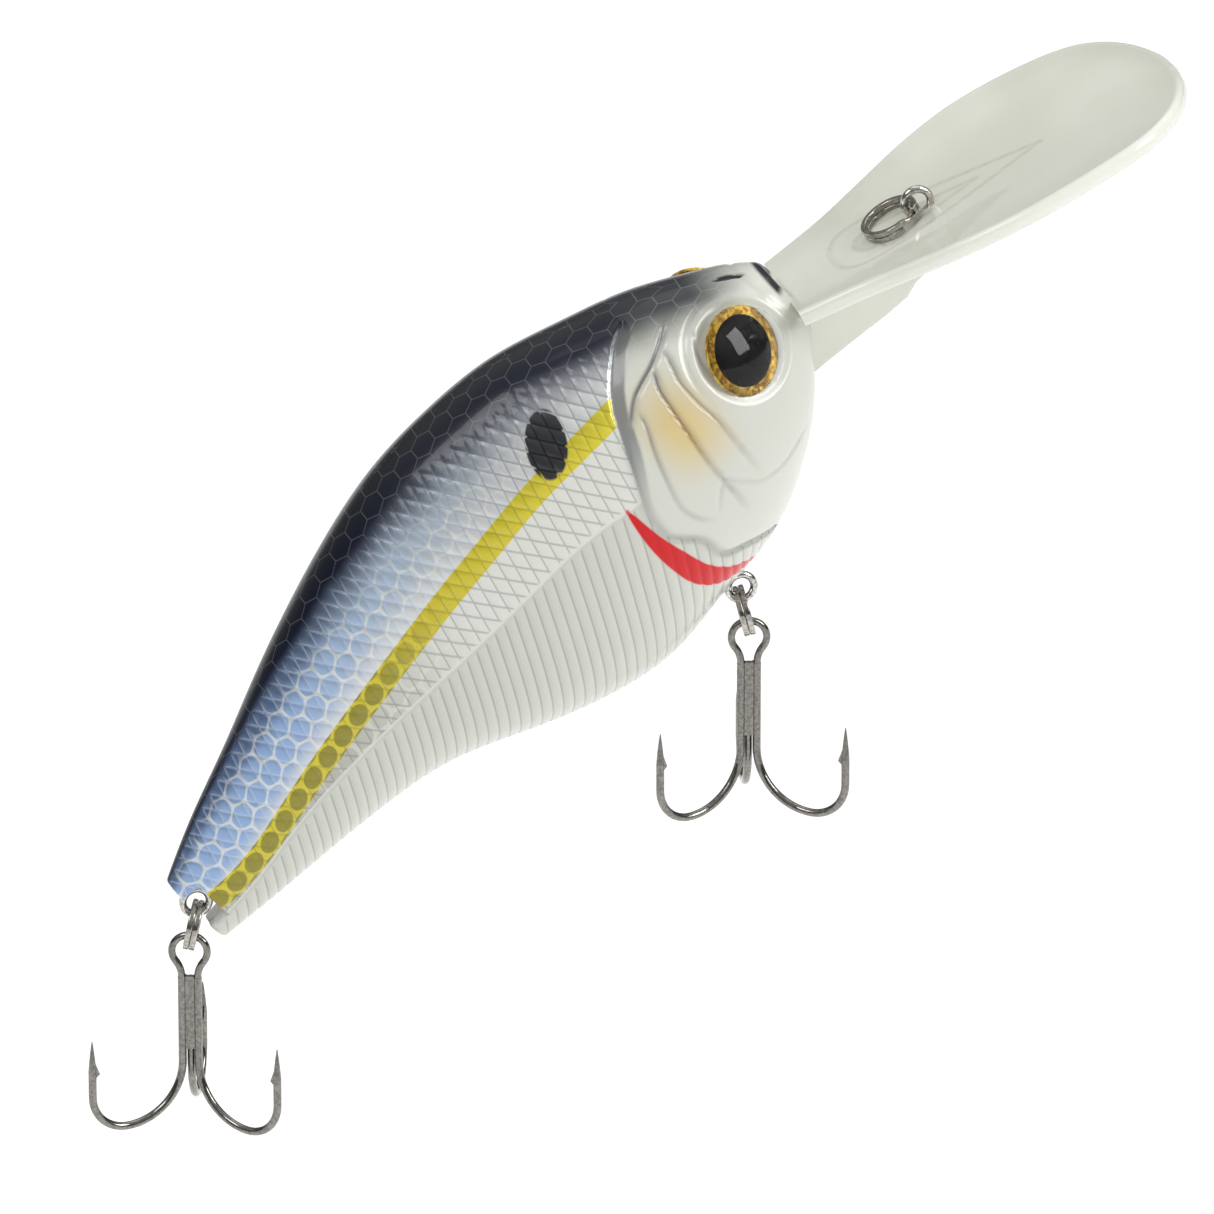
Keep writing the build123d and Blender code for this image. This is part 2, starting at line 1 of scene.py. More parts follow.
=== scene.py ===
"""Looks of a deep-diving crankbait lure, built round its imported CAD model.

Lengths inside the helpers are millimetres in the part's own frame, and MM turns them into Blender's metres.
On the body, s is the distance from the tail, n is the height off its axis towards the back, and the angle
round it runs from the back (0) over the flank to the belly (pi).
"""
from math import cos, pi, radians, sin

import bmesh
import bpy
import numpy as np
from mathutils import Matrix, Vector


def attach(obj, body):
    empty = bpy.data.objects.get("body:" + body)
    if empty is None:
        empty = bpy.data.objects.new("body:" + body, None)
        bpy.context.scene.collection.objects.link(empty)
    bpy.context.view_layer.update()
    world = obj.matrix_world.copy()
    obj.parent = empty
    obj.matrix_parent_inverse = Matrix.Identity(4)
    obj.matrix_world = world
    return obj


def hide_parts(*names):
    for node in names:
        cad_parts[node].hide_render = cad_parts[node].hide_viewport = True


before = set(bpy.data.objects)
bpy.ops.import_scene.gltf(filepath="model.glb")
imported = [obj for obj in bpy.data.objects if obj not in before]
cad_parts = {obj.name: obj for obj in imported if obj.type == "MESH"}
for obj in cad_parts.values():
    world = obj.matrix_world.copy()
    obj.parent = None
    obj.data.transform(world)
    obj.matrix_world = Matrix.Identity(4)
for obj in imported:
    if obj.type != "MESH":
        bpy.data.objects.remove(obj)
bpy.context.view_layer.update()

MM = 0.001

# ---- the part's own directions and sizes ---------------------------------------------------------------
BODY_PITCH, LIP_PITCH = radians(42.0), radians(26.6)
A = np.array([cos(BODY_PITCH), 0, sin(BODY_PITCH)])      # along the body, to the nose
N = np.array([-sin(BODY_PITCH), 0, cos(BODY_PITCH)])     # across it, to the back
L = np.array([cos(LIP_PITCH), 0, sin(LIP_PITCH)])        # along the lip, to its tip
M = np.array([-sin(LIP_PITCH), 0, cos(LIP_PITCH)])       # off the lip's upper face
Y = np.array([0.0, 1.0, 0.0])
TAIL = np.array([-73.22, 0, -69.42])
# (distance from the tail, height of the section's centre, half depth, half width)
SECTIONS = np.array([
    (-0.3, 0.5, 4.55, 2.1), (6.0, 1.8, 6.4, 3.2), (14.0, 3.25, 8.3, 4.6), (22.0, 4.7, 10.4, 6.0),
    (30.0, 5.5, 12.75, 7.5), (38.0, 5.0, 15.85, 9.2), (46.0, 4.25, 18.3, 10.5), (54.0, 3.7, 19.15, 11.2),
    (62.0, 3.8, 18.2, 11.3), (70.0, 3.1, 16.3, 10.9), (77.0, 3.35, 13.2, 10.0), (82.5, 3.9, 9.5, 7.8),
    (86.5, 4.9, 5.9, 5.1), (88.9, 5.4, 3.2, 2.9),
])
S_TAIL, S_NOSE = -0.3, 88.9
TAIL_ROUND, NOSE_ROUND = 0.5, 1.0
EYE = TAIL + A * 81.5 + N * 6.9 + Y * 7.35
EYE_R, BROW_R = 4.65, 6.6

LINE_TILT, LINE_REACH, LINE_HEIGHT, LINE_BACK = radians(3.2), 3.23, 0.357, 30.55
LINE_LOOP = (L * cos(LINE_TILT) + M * sin(LINE_TILT)) * LINE_REACH
LIP_TIP = LINE_LOOP + L * LINE_BACK - M * LINE_HEIGHT
LIP_CUP, LIP_HALF, LIP_THICK = 1.6, 15.2, 1.9
LIP_SPINE = 9.0          # the spine that the plate's grid grows from starts this far behind the tip
LIP_EDGE = 0.8           # rounding of the plate's rim
RIB_HEIGHT, RIB_HALF = 0.5, 0.45
KEEL_HALF, KEEL_EDGE = 1.2, 0.5
# (distance behind the tip, half width)
LIP_OUTLINE = [(0.6, 0.0), (1.1, 4.2), (3.1, 9.0), (6.3, 12.5), (10.2, 14.3), (16.0, 15.2), (22.0, 15.2),
               (28.0, 13.9), (34.0, 11.6), (40.0, 9.2), (47.0, 7.2)]
LIP_RIBS = ([(16.5, 0.0), (22.0, 1.5), (28.0, 3.1), (34.0, 4.4), (38.5, 4.4), (40.6, 2.6), (41.0, 0.0)],
            [(24.0, 0.0), (29.0, 1.1), (34.5, 2.0), (37.6, 1.7), (38.4, 0.0)])
# (distance behind the tip, height off the plane of the lip's edges)
KEEL = [(49.6, -2.0), (49.6, -10.4), (47.0, -9.9), (44.0, -9.4), (39.0, -8.7), (36.0, -8.1), (34.7, -7.2),
        (27.0, -4.5), (20.0, -2.4), (20.0, -2.0)]

# ---- how the visible skin is cut -----------------------------------------------------------------------
UNDER = 0.12             # the skin lies this far inside the CAD shell's outer face
STEP = 0.23       # spacing of the skin's grid
GIRTH = 47.0             # round one flank at its deepest
PLAIN_STEPS = 16         # round the flank that carries no relief
LIP_INTO_BODY = 1.2      # how far the lip reaches into the body's wall
SCRAP = 40               # a loose bit of mesh with fewer faces than this is a scrap
FAR = 9.0                # further than any fade reaches

# Families of parallel lines, as (along, round the body) directions square to the lines, and their spacing.
SCALE_1, SCALE_2, RIB = (0.845, -0.534), (0.963, 0.27), (0.90, 0.434)
SCALE_PITCH, RIB_PITCH = 1.43, 1.3
LINE_WIDTH = 0.17
SCALE_DEPTH, RIB_DEPTH, LATERAL_DEPTH = 0.085, 0.13, 0.12
GILL_STEP, EYE_DISH, BROW_DEPTH, NOSTRIL_DEPTH, COLLAR_DEPTH = 0.42, 0.45, 0.22, 0.35, 0.16
STRIPE_HALF = 1.3
HEX_PITCH, HEX_ROW = 2.7, 2.1

# Lines on the flank as (s, n), the same on both flanks.
STRIPE = [(-0.3, 0.9), (3.6, 0.8), (9.4, 1.7), (16.0, 3.8), (24.0, 6.2), (31.0, 8.1), (36.0, 9.4),
          (42.5, 10.9), (49.0, 12.0), (57.0, 13.0), (61.3, 13.1), (67.0, 13.0), (78.0, 12.0), (88.9, 8.4)]
LATERAL = [(-0.3, -1.6), (6.2, -0.7), (14.6, 1.5), (20.5, 2.6), (30.8, 3.8), (44.3, 5.0), (55.7, 5.6),
           (63.3, 4.5)]
GILL_REAR = [(74.6, 17.0), (72.3, 16.6), (69.6, 15.0), (67.9, 13.2), (67.2, 12.0), (66.5, 10.6),
             (64.8, 7.2), (63.1, 3.6), (62.5, 1.0), (62.6, -0.9), (63.6, -2.6), (64.6, -4.2), (65.0, -7.8),
             (67.3, -9.6), (70.5, -12.0)]
CRESCENT = [(61.6, 4.9), (61.3, 0.2), (61.5, -3.7), (62.0, -7.4), (63.4, -10.3), (65.4, -12.0),
            (67.5, -13.4)]
# The gill cover's creases: (line, width of its slope, depth, how dark the painted shade in it is).
CREASES = (
    ([(77.8, 14.6), (75.7, 13.9), (73.7, 13.3), (71.7, 12.9), (70.1, 12.4), (68.5, 11.3), (67.2, 10.0)],
     0.9, 0.42, 1.2),
    ([(73.9, 13.1), (72.7, 11.5), (72.1, 8.9), (71.5, 5.4), (70.8, 1.6), (70.4, -2.8), (69.9, -6.8)],
     0.8, 0.36, 1.3),
    ([(75.9, 13.8), (75.1, 11.6), (74.6, 10.1), (74.5, 7.2), (74.6, 4.3), (74.1, -0.2), (73.7, -4.8)],
     0.75, 0.32, 1.0),
    ([(69.7, 11.6), (69.0, 9.5), (67.8, 7.1), (66.5, 3.8), (65.6, 0.7), (66.1, -1.9), (67.4, -3.7)],
     0.6, 0.26, 0.8),
    ([(67.4, -3.7), (70.4, -0.9), (72.0, -2.6), (73.5, -4.4), (76.1, -5.3), (78.7, -5.3), (81.0, -5.0)],
     0.5, 0.18, 0.3),
    ([(79.1, 12.4), (78.0, 10.7), (77.7, 9.1), (77.4, 7.0)], 0.5, 0.15, 0.2),
)


# ---- curves and the smooth body ------------------------------------------------------------------------
def spline(xs, ys):
    """The natural cubic through the points, as a function."""
    count, gap = len(xs), np.diff(xs)
    system, right = np.eye(count), np.zeros(count)
    for i in range(1, count - 1):
        system[i, i - 1:i + 2] = gap[i - 1], 2 * (gap[i - 1] + gap[i]), gap[i]
        right[i] = 6 * ((ys[i + 1] - ys[i]) / gap[i] - (ys[i] - ys[i - 1]) / gap[i - 1])
    bend = np.linalg.solve(system, right)

    def at(x):
        i = np.clip(np.searchsorted(xs, x) - 1, 0, count - 2)
        t, h = x - xs[i], gap[i]
        slope = (ys[i + 1] - ys[i]) / h - h * (2 * bend[i] + bend[i + 1]) / 6
        return ys[i] + t * slope + t * t * bend[i] / 2 + t ** 3 * (bend[i + 1] - bend[i]) / (6 * h)
    return at


centre_at, depth_at, width_at = (spline(SECTIONS[:, 0], SECTIONS[:, k]) for k in (1, 2, 3))
stripe_at = spline(*np.array(STRIPE).T)


def smoothstep(x, low, high):
    t = np.clip((x - low) / (high - low), 0, 1)
    return t * t * (3 - 2 * t)


def smooth_path(points, parts=6):
    """Points along a Catmull-Rom curve through the given ones."""
    p = np.array([points[0], *points, points[-1]], float)
    t = np.arange(parts)[:, None] / parts
    runs = [0.5 * (2 * b + (c - a) * t + (2 * a - 5 * b + 4 * c - d) * t ** 2
                   + (3 * b - a - 3 * c + d) * t ** 3)
            for a, b, c, d in zip(p, p[1:], p[2:], p[3:])]
    return np.concatenate(runs + [p[-1:]])


def distance_to_run(points, start, end):
    """Distance from each point to a straight run, and how far along the run it is nearest (0 to 1)."""
    run = end - start
    t = np.clip(((points - start) @ run) / max(run @ run, 1e-9), 0, 1)
    return np.linalg.norm(points - start - t[..., None] * run, axis=-1), t


def body_axis(s):
    """The middle of the body's section at s."""
    return TAIL + A * s[..., None] + N * centre_at(s)[..., None]


def body_points(s, angle):
    """Points of the smooth body."""
    n = centre_at(s) + depth_at(s) * np.cos(angle)
    y = width_at(s) * np.sin(angle)
    return TAIL + A * s[..., None] + N * n[..., None] + Y * y[..., None]


def angle_of(s, n):
    """The angle at which the body's flank has the height n."""
    return np.arccos(np.clip((n - centre_at(s)) / depth_at(s), -1, 1))


def arc_from(s, angle, start):
    """Distance round the section from angle start to angle, positive towards the belly."""
    steps = 24
    total = np.zeros(s.shape)
    for k in range(steps):
        at = start + (angle - start) * (k + 0.5) / steps
        total += np.hypot(width_at(s) * np.cos(at), depth_at(s) * np.sin(at))
    return total * (angle - start) / steps


# ---- relief and paint fields on a flank ----------------------------------------------------------------
class Flank:
    """The grid of one flank, and the distances on it that relief and paint are made from."""

    def __init__(self, s, angle):
        self.s, self.angle = s, angle
        self.n = centre_at(s) + depth_at(s) * np.cos(angle)
        self.points = body_points(s, angle)
        stripe_angle = angle_of(s, stripe_at(s))
        self.lay = arc_from(s, angle, stripe_angle)              # distance below the stripe's middle
        self.turn = np.degrees(angle - stripe_angle)
        gill, side, _ = self.line(GILL_REAR)
        ahead = np.where((s > 70.5) & (self.n < -8), FAR, gill * side)
        self.ahead = np.where(s > 74.6, FAR, ahead)              # distance ahead of the gill's rear edge
        self.behind = smoothstep(-self.ahead, 0.15, 0.6)
        self.lateral, side, _ = self.line(LATERAL)
        self.below = -self.lateral * side                        # distance below the lateral line

    def line(self, path):
        """Distance from each point to a line, its side (1 ahead, -1 behind), and how far along (0 to 1)."""
        path = smooth_path(path)
        ends = body_points(path[:, 0], angle_of(path[:, 0], path[:, 1]))
        best, side, along = (np.full(self.s.shape, 1e9) for _ in range(3))
        for i in range(len(path) - 1):
            gap, t = distance_to_run(self.points, ends[i], ends[i + 1])
            near = gap < best
            (s0, n0), (s1, n1) = path[i], path[i + 1]
            turn = (n0 - n1) * (self.s - s0) + (s1 - s0) * (self.n - n0)
            best = np.where(near, gap, best)
            side = np.where(near, np.sign(turn), side)
            along = np.where(near, (i + t) / (len(path) - 1), along)
        return best, side, along


def grooves(flank, family, pitch, width):
    """1 on each of a family of parallel lines, falling to 0 beside it."""
    x = family[0] * flank.s + family[1] * flank.lay
    off = (x / pitch - np.round(x / pitch)) * pitch
    return np.exp(-(off / width) ** 2)


def scale_relief(flank):
    """Depth of the scale grooves, of the belly's ribs and of the lateral line."""
    s, below = flank.s, flank.below
    degrees_round = np.degrees(flank.angle) + 12 * smoothstep(-s, -30, -8)
    scaled = flank.behind * smoothstep(-below, 0.1, 0.5)
    scaled *= smoothstep(degrees_round, 22, 32) * smoothstep(s, 0.5, 4)
    ribbed = flank.behind * smoothstep(below, 0.3, 0.8) * smoothstep(s, 1, 5)
    depth = RIB_DEPTH * ribbed * grooves(flank, RIB, RIB_PITCH, LINE_WIDTH + 0.03)
    for family in (SCALE_1, SCALE_2):
        depth += SCALE_DEPTH * scaled * grooves(flank, family, SCALE_PITCH, LINE_WIDTH)
    return depth + LATERAL_DEPTH * flank.behind * np.exp(-(flank.lateral / 0.2) ** 2)


def gill_relief(flank):
    """Depth of the gill cover, which stands proud behind a bevel, and of its creases, and the painted shade
    on the bevel, along the cover's rear edge and in the creases.
    """
    n, ahead = flank.n, flank.ahead
    bevel = 1.5 - 0.6 * smoothstep(-n, -9, -3)
    depth = GILL_STEP * np.where((ahead > 0) & (ahead < bevel), 1 - ahead / bevel, 0)
    depth += GILL_STEP * np.where(ahead <= 0, smoothstep(ahead, -0.25, 0), 0)
    # Painted shade: grey across the bevel, stronger higher up, and along the cover's rear edge.
    grey = smoothstep(ahead, -0.1, 0.1) * smoothstep(bevel - ahead, -0.1, 0.2) * smoothstep(n, 1, 12)
    grey += 0.35 * np.exp(-(ahead / 0.5) ** 2) * (n < 12)
    for path, width, deep, painted_light in CREASES:
        gap, side, along = flank.line(path)
        fade = smoothstep(along, 0, 0.12) * smoothstep(1 - along, 0, 0.2)
        wall = np.where(side > 0, smoothstep(-gap, -width, 0), smoothstep(-gap, -0.22, 0))
        depth += deep * fade * wall
        # Painted shade in the crease, darker higher up.
        tint = painted_light * (0.25 + 0.75 * smoothstep(n, 0, 9))
        grey = np.maximum(grey, tint * fade * np.exp(-(gap / (0.16 + 0.1 * width)) ** 2))
    return depth, grey


def eye_relief(flank):
    """Depth of the dish round the eye, and of the brow groove above and behind it."""
    reach = np.linalg.norm(flank.points - EYE, axis=-1)
    up = (flank.points - EYE) @ (N * 0.8 - A * 0.6)
    dish = EYE_DISH * (1 - smoothstep(reach, EYE_R + 0.1, EYE_R + 1.1))
    return dish + BROW_DEPTH * np.exp(-((reach - BROW_R) / 0.3) ** 2) * smoothstep(up, 2.0, 4.0)


def flank_fields(flank):
    """Depth of the relief below the smooth skin, and the fields that the paint reads."""
    s, n = flank.s, flank.n
    gill_depth, grey = gill_relief(flank)
    nostril = np.hypot((s - 85.2) / 1.5, (flank.points[..., 1] - 1.5) / 0.5) + FAR * (n < 8)
    depth = UNDER + scale_relief(flank) + gill_depth + eye_relief(flank)
    depth += NOSTRIL_DEPTH * (1 - smoothstep(nostril, 0.7, 1.05))
    depth += COLLAR_DEPTH * np.exp(-((s - 87.0 + 0.18 * (n - 5.4)) / 0.25) ** 2)
    red, _, along = flank.line(CRESCENT)
    crescent = red - 1.25 * np.sin(pi * np.clip(along, 0.02, 0.93)) ** 0.7
    # The gill cover's painted shade goes along with the red crescent.
    fields = {"lay": (s, flank.lay), "turn": (flank.turn, n), "zone": (flank.ahead, flank.below),
              "shade_and_crescent": (grey, crescent), "round": (nostril, np.degrees(flank.angle))}
    return depth, fields


# ---- meshes --------------------------------------------------------------------------------------------
def clean(obj, outward=False):
    """Joins points that coincide, and drops faces without area and the scraps that a cut leaves."""
    build = bmesh.new()
    build.from_mesh(obj.data)
    bmesh.ops.remove_doubles(build, verts=build.verts, dist=0.0004 * MM)
    bmesh.ops.dissolve_degenerate(build, edges=build.edges, dist=0.0002 * MM)
    unseen, scraps = set(build.faces), []
    while unseen:
        island = [unseen.pop()]
        for face in island:              # the island grows as it is walked
            near = {other for edge in face.edges for other in edge.link_faces} & unseen
            unseen -= near
            island += near
        if len(island) < SCRAP:
            scraps += island
    bmesh.ops.delete(build, geom=scraps, context="FACES")
    if outward:
        bmesh.ops.recalc_face_normals(build, faces=build.faces)
    build.to_mesh(obj.data)
    build.free()


def new_object(name, vertices, faces, fields=None):
    """A mesh object from points in millimetres; each field is a pair of numbers for every point."""
    mesh = bpy.data.meshes.new(name)
    mesh.from_pydata((np.asarray(vertices) * MM).tolist(), [], faces)
    corner = np.empty(len(mesh.loops), np.int32)
    mesh.loops.foreach_get("vertex_index", corner)
    for key, (u, v) in (fields or {}).items():
        layer = mesh.uv_layers.new(name=key)
        layer.uv.foreach_set("vector", np.stack([u[corner], v[corner]], 1).astype(np.float32).ravel())
    obj = bpy.data.objects.new(name, mesh)
    bpy.context.scene.collection.objects.link(obj)
    clean(obj, outward=True)
    return obj


def smooth_shade(obj, angle=32.0):
    obj.data.polygons.foreach_set("use_smooth", [True] * len(obj.data.polygons))
    obj.data.set_sharp_from_angle(angle=radians(angle))


def boolean(obj, other, operation):
    """obj's mesh becomes its union, difference or intersection with other, which is removed."""
    change = obj.modifiers.new("join", "BOOLEAN")
    change.operation, change.object, change.solver = operation, other, "MANIFOLD"
    change.material_mode = "TRANSFER"
    mesh = bpy.data.meshes.new_from_object(obj.evaluated_get(bpy.context.evaluated_depsgraph_get()))
    obj.modifiers.clear()
    obj.data = mesh
    bpy.data.objects.remove(other)
    clean(obj)


def solid_copy(node):
    """A closed copy of a CAD node's mesh."""
    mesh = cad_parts[node].data.copy()
    mesh.materials.clear()
    build = bmesh.new()
    build.from_mesh(mesh)
    bmesh.ops.remove_doubles(build, verts=build.verts, dist=0.0001 * MM)
    build.to_mesh(mesh)
    build.free()
    obj = bpy.data.objects.new(node + "_copy", mesh)
    bpy.context.scene.collection.objects.link(obj)
    return obj


def tube_faces(rings, count):
    """Quads between the rings of a closed tube with count points each, and a face over each end."""
    index = np.arange(rings * count).reshape(rings, count)
    following = np.roll(index, -1, axis=1)
    quads = np.stack([index[:-1], following[:-1], following[1:], index[1:]], -1).reshape(-1, 4)
    return quads.tolist() + [index[0][::-1].tolist(), index[-1].tolist()]


def end_spacing(low, high, step, low_round, high_round):
    """Even steps from low to high, drawn closer over the rounded ends."""
    turn = np.radians([0, 8, 18, 28, 38, 50, 62, 76])
    start = low + low_round * (1 - np.cos(turn))
    finish = high - high_round * (1 - np.cos(turn))
    count = int((high - low - low_round - high_round) / step)
    middle = np.linspace(low + low_round, high - high_round, count)
    return np.concatenate([start, middle, finish[::-1]])


def body_form(name, side):
    """The whole body, closed, with relief on one flank: side is -1 on the right and 1 on the left."""
    low, high = S_TAIL + UNDER, S_NOSE - UNDER
    fine = int(GIRTH / STEP)
    angles = np.concatenate([np.linspace(0, pi, fine), pi + np.linspace(0, pi, PLAIN_STEPS + 1)[1:-1]])
    s, angle = np.meshgrid(end_spacing(low, high, STEP, TAIL_ROUND, NOSE_ROUND), angles, indexing="ij")
    relief, fields = flank_fields(Flank(s[:, :fine], angle[:, :fine]))
    depth = np.full(s.shape, UNDER)
    depth[:, :fine] = relief
    depth[:, fine:] += (relief[:, :1] + relief[:, -1:]) / 2 - UNDER
    for end, radius, way in ((low, TAIL_ROUND, 1), (high, NOSE_ROUND, -1)):
        into = np.clip((s - end) * way / radius, 0, 1)
        depth += radius * (1 - np.sqrt(1 - (1 - into) ** 2))

    points = body_points(s, angle)
    around = np.roll(points, -1, axis=1) - np.roll(points, 1, axis=1)
    outward = np.cross(np.gradient(points, axis=0), around)
    outward /= np.maximum(np.linalg.norm(outward, axis=-1, keepdims=True), 1e-9)
    outward *= np.sign(np.sum(outward * (points - body_axis(s)), axis=-1, keepdims=True))
    points -= outward * depth[..., None]
    points[..., 1] *= side
    faces = tube_faces(*s.shape)
    if side < 0:
        faces = [face[::-1] for face in faces]
    carried = {}
    for key, pair in fields.items():
        # The plain flank carries on with the values at the belly.
        plain = [np.broadcast_to(value[:, -1:], (len(s), s.shape[1] - fine)) for value in pair]
        carried[key] = [np.hstack([value, rest]).ravel() for value, rest in zip(pair, plain)]
    return new_object(name, points.reshape(-1, 3), faces, carried)


def plain_form(depth):
    """The smooth closed body, the given depth inside the CAD shells' outer face."""
    stations = np.linspace(S_TAIL + depth, S_NOSE - depth, 180)
    s, angle = np.meshgrid(stations, np.linspace(0, 2 * pi, 180, endpoint=False), indexing="ij")
    share = (1 - depth / width_at(s))[..., None]
    points = body_axis(s) + (body_points(s, angle) - body_axis(s)) * share
    return new_object("plain_form", points.reshape(-1, 3), tube_faces(*s.shape))


def lip_points(behind, across, height):
    """Points given by their distance behind the lip's tip, across it, and off the plane of its edges."""
    return LIP_TIP - L * behind[..., None] + Y * across[..., None] + M * height[..., None]


def lip_plate():
    """The cupped plate with a rounded rim, and ribs on its underside."""
    half = smooth_path(LIP_OUTLINE, 12)
    rim = np.concatenate([half[::-1] * (1, -1), half[1:]])
    spine = np.stack([np.maximum(rim[:, 0], LIP_SPINE), np.zeros(len(rim))], 1)
    share = np.sin(np.linspace(0, pi / 2, 44))
    plan = spine[:, None] + (rim - spine)[:, None] * share[None, :, None]
    behind, across = plan[..., 0], plan[..., 1]
    edge = np.linalg.norm(rim - spine, axis=1)[:, None] * (1 - share[None])
    into = np.clip(edge / LIP_EDGE, 0, 1)
    half_thick = LIP_THICK / 2 * np.sqrt(np.maximum(1 - (1 - into) ** 2, 0))
    cup = -LIP_CUP * (1 - (across / LIP_HALF) ** 2)
    rib = np.full(edge.shape, FAR)
    flat = np.stack([behind, np.abs(across)], -1)
    for path in LIP_RIBS:
        path = smooth_path(path, 4)
        for start, end in zip(path[:-1], path[1:]):
            rib = np.minimum(rib, distance_to_run(flat, start, end)[0])
    ridge = RIB_HEIGHT * np.exp(-(rib / RIB_HALF) ** 2) * smoothstep(edge, LIP_EDGE, 2 * LIP_EDGE)
    sheets = [lip_points(behind, across, level).reshape(-1, 3)
              for level in (cup + half_thick, cup - half_thick - ridge)]
    fields = {"lip": (np.tile(edge.ravel(), 2), np.tile(rib.ravel(), 2))}

    rows, columns = edge.shape
    index = np.arange(rows * columns).reshape(rows, columns)
    quads = np.stack([index[:-1, :-1], index[1:, :-1], index[1:, 1:], index[:-1, 1:]], -1).reshape(-1, 4)
    faces = quads.tolist() + (quads[:, ::-1] + index.size).tolist()
    for row, way in ((index[0], 1), (index[-1], -1)):
        for a, b in zip(row[:-1], row[1:]):
            faces.append([a, b, b + index.size, a + index.size][::way])
    return new_object("lip_plate", np.concatenate(sheets), faces, fields)


def keel_plate():
    """The keel under the lip: a plate in the symmetry plane with rounded edges."""
    outline = np.array(KEEL)
    middle = outline.mean(axis=0)
    away = outline - middle
    reach = np.linalg.norm(away, axis=1, keepdims=True)
    turn = np.linspace(0, pi / 2, 5)
    rings = [(KEEL_HALF - KEEL_EDGE * (1 - cos(t)), KEEL_EDGE * (1 - sin(t))) for t in turn]
    levels = [(-half, inset) for half, inset in rings] + rings[::-1]
    vertices = []
    for level, inset in levels:
        behind, height = (middle + away * (1 - inset / reach)).T
        vertices.append(lip_points(behind, np.full(len(outline), level), height))
    vertices = np.concatenate(vertices)
    clear_of_edges = (np.full(len(vertices), 3.0), np.full(len(vertices), FAR))
    return new_object("keel", vertices, tube_faces(len(levels), len(outline)), {"lip": clear_of_edges})


# ---- materials -----------------------------------------------------------------------------------------
def srgb(red, green, blue):
    """A colour given as 0 to 255 on a screen, in Blender's linear values."""
    return tuple(((c / 255 + 0.055) / 1.055) ** 2.4 for c in (red, green, blue)) + (1.0,)


SILVER_LOW, SILVER_HIGH = srgb(206, 208, 206), srgb(160, 163, 163)
BLUE_MIDDLE, BLUE_TAIL = srgb(170, 187, 203), srgb(138, 166, 204)
SHADE_MIDDLE, SHADE_TAIL = srgb(50, 56, 70), srgb(54, 74, 108)
BACK_LOW, BACK_HIGH = srgb(14, 19, 36), srgb(28, 32, 36)
FLANK_NET, BACK_NET = srgb(212, 214, 206), srgb(96, 100, 100)
PEARL_FRONT, PEARL_TAIL, PEARL_SCALE = srgb(208, 209, 201), srgb(186, 186, 176), srgb(160, 160, 149)
# The belly's second colour here is painted shade between its ribs.
BELLY, RIB_GROOVE_SHADE, LATERAL_PALE = srgb(192, 194, 184), srgb(132, 132, 122), srgb(210, 211, 202)
# Painted shade in the scale grooves, at the front and below the stripe, and a painted highlight in them
# towards the tail.
GROOVE_SHADE_FRONT, GROOVE_HIGHLIGHT_TAIL, GROOVE_SHADE_LOW = srgb(84, 90, 104), srgb(186, 196, 214), srgb(112, 114, 114)
YELLOW_FRONT, YELLOW_TAIL = srgb(204, 192, 58), srgb(190, 176, 22)
# The stripe's last colour here is painted shade in its scale grooves.
OLIVE, STRIPE_GROOVE_SHADE = srgb(136, 128, 22), srgb(120, 112, 30)
# The spot's black is lightened to dark grey as a painted sheen on its cells; its second colour is painted
# shade in the scale grooves.
SPOT, SPOT_GROOVE_SHADE = srgb(48, 49, 52), srgb(6, 6, 7)
WHITE, AMBER = srgb(199, 201, 191), srgb(206, 182, 118)
CROWN, CROWN_NET = srgb(38, 42, 46), srgb(112, 114, 112)
NOSE_BLACK, NOSTRIL_BLACK = srgb(26, 28, 34), srgb(30, 32, 36)
# Painted shade on the gill cover's bevel and in its creases: grey, a darker grey higher up and brown over the
# amber cheek.
CREASE_SHADE_GREY, CREASE_SHADE_HIGH, CREASE_SHADE_AMBER = srgb(104, 106, 108), srgb(90, 90, 92), srgb(128, 98, 48)
RED = srgb(196, 4, 14)


